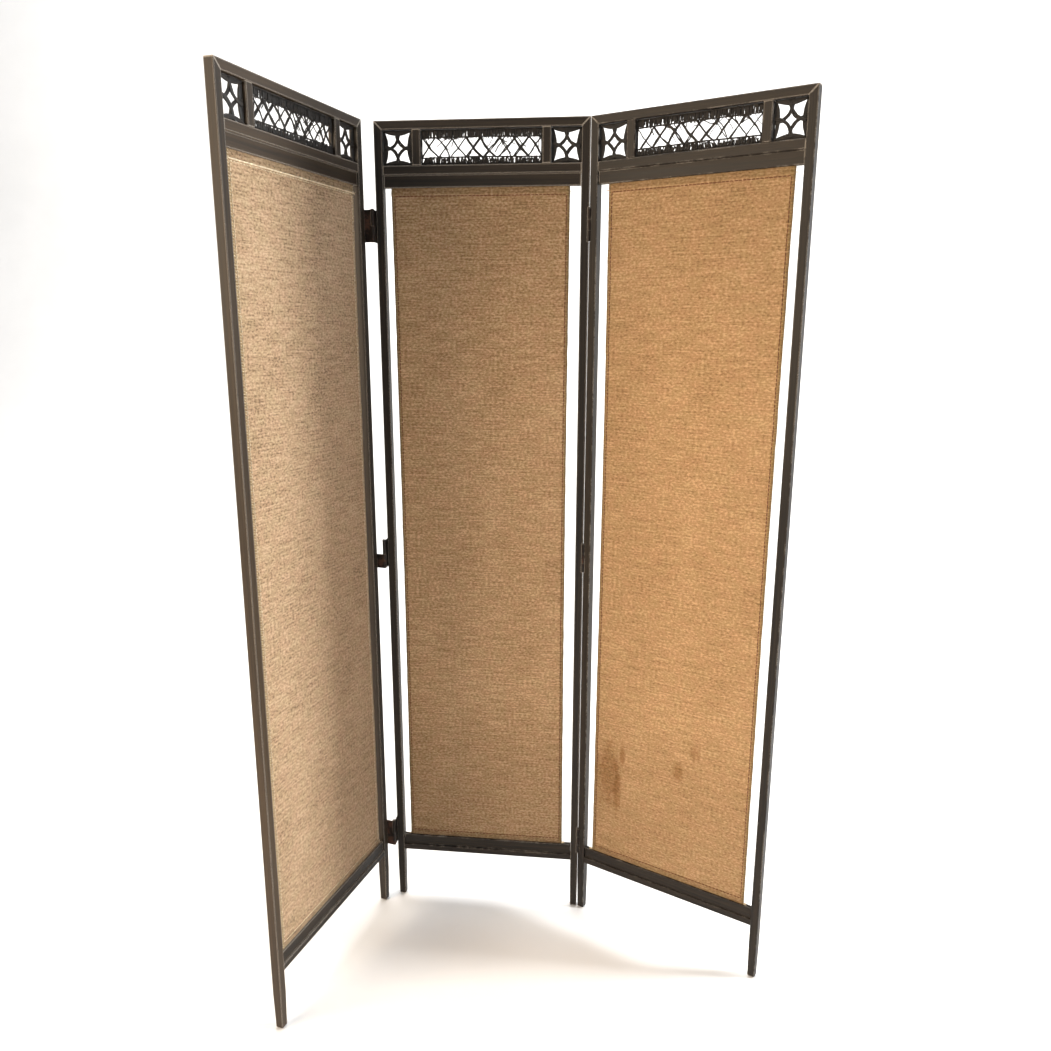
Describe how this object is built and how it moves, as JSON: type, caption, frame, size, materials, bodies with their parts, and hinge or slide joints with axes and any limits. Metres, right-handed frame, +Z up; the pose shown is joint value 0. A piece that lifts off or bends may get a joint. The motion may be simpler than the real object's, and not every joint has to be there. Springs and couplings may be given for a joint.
{
  "type": "folding room divider screen",
  "caption": "Free-standing folding room divider: dark wood panels on tapered feet, with fretwork under the top rail and taut woven cloth below, hinged so the wings swing and fold flat.",
  "frame": {"origin": "on the floor, under the middle of the standing screen's outline", "axes": "+X to the viewer's right along the middle panel, +Y from its front face to its back, +Z up"},
  "size_m": [0.9848, 0.462, 1.78],
  "materials": {
    "dark_wood": "dark espresso stain, satin, rubbed lighter along the edges and joints",
    "fret_wood": "near-black stained strips, matte",
    "woven_cloth": "coarse natural tan weave with slubs, darker stitched selvedges",
    "hinge_metal": "dark bronze, worn, with some rust brown",
    "screw_steel": "dulled steel"
  },
  "bodies": {
    "center_panel": {"center_panel_batten_screws": "screw_steel", "center_panel_bottom_rail": "dark_wood", "center_panel_center_fret": "fret_wood", "center_panel_hinge_screws": "screw_steel", "center_panel_left_fret": "fret_wood", "center_panel_left_mullion": "dark_wood", "center_panel_left_stile": "dark_wood", "center_panel_lower_batten": "dark_wood", "center_panel_mid_rail": "dark_wood", "center_panel_right_fret": "fret_wood", "center_panel_right_mullion": "dark_wood", "center_panel_right_stile": "dark_wood", "center_panel_top_rail": "dark_wood", "center_panel_upper_batten": "dark_wood", "center_panel_woven_cloth": "woven_cloth", "left_bottom_hinge_center_leaf": "hinge_metal", "left_hinge_pins": "hinge_metal", "left_middle_hinge_center_leaf": "hinge_metal", "left_top_hinge_center_leaf": "hinge_metal", "right_bottom_hinge_center_leaf": "hinge_metal", "right_hinge_pins": "hinge_metal", "right_middle_hinge_center_leaf": "hinge_metal", "right_top_hinge_center_leaf": "hinge_metal"},
    "left_panel": {"left_bottom_hinge_wing_leaf": "hinge_metal", "left_middle_hinge_wing_leaf": "hinge_metal", "left_panel_batten_screws": "screw_steel", "left_panel_bottom_rail": "dark_wood", "left_panel_center_fret": "fret_wood", "left_panel_hinge_screws": "screw_steel", "left_panel_left_fret": "fret_wood", "left_panel_left_mullion": "dark_wood", "left_panel_left_stile": "dark_wood", "left_panel_lower_batten": "dark_wood", "left_panel_mid_rail": "dark_wood", "left_panel_right_fret": "fret_wood", "left_panel_right_mullion": "dark_wood", "left_panel_right_stile": "dark_wood", "left_panel_top_rail": "dark_wood", "left_panel_upper_batten": "dark_wood", "left_panel_woven_cloth": "woven_cloth", "left_top_hinge_wing_leaf": "hinge_metal"},
    "right_panel": {"right_bottom_hinge_wing_leaf": "hinge_metal", "right_middle_hinge_wing_leaf": "hinge_metal", "right_panel_batten_screws": "screw_steel", "right_panel_bottom_rail": "dark_wood", "right_panel_center_fret": "fret_wood", "right_panel_hinge_screws": "screw_steel", "right_panel_left_fret": "fret_wood", "right_panel_left_mullion": "dark_wood", "right_panel_left_stile": "dark_wood", "right_panel_lower_batten": "dark_wood", "right_panel_mid_rail": "dark_wood", "right_panel_right_fret": "fret_wood", "right_panel_right_mullion": "dark_wood", "right_panel_right_stile": "dark_wood", "right_panel_top_rail": "dark_wood", "right_panel_upper_batten": "dark_wood", "right_panel_woven_cloth": "woven_cloth", "right_top_hinge_wing_leaf": "hinge_metal"}
  },
  "joints": [
    {"name": "left_wing_fold", "type": "hinge", "parent": "center_panel", "child": "left_panel", "pos_m": [-0.35349, 0.19583, 0], "axis": [0, 0, 1], "range_deg": [-76.3, 103.7]},
    {"name": "right_wing_fold", "type": "hinge", "parent": "center_panel", "child": "right_panel", "pos_m": [0.09046, 0.21158, 0], "axis": [0, 0, -1], "range_deg": [-26.5, 153.5]}
  ]
}
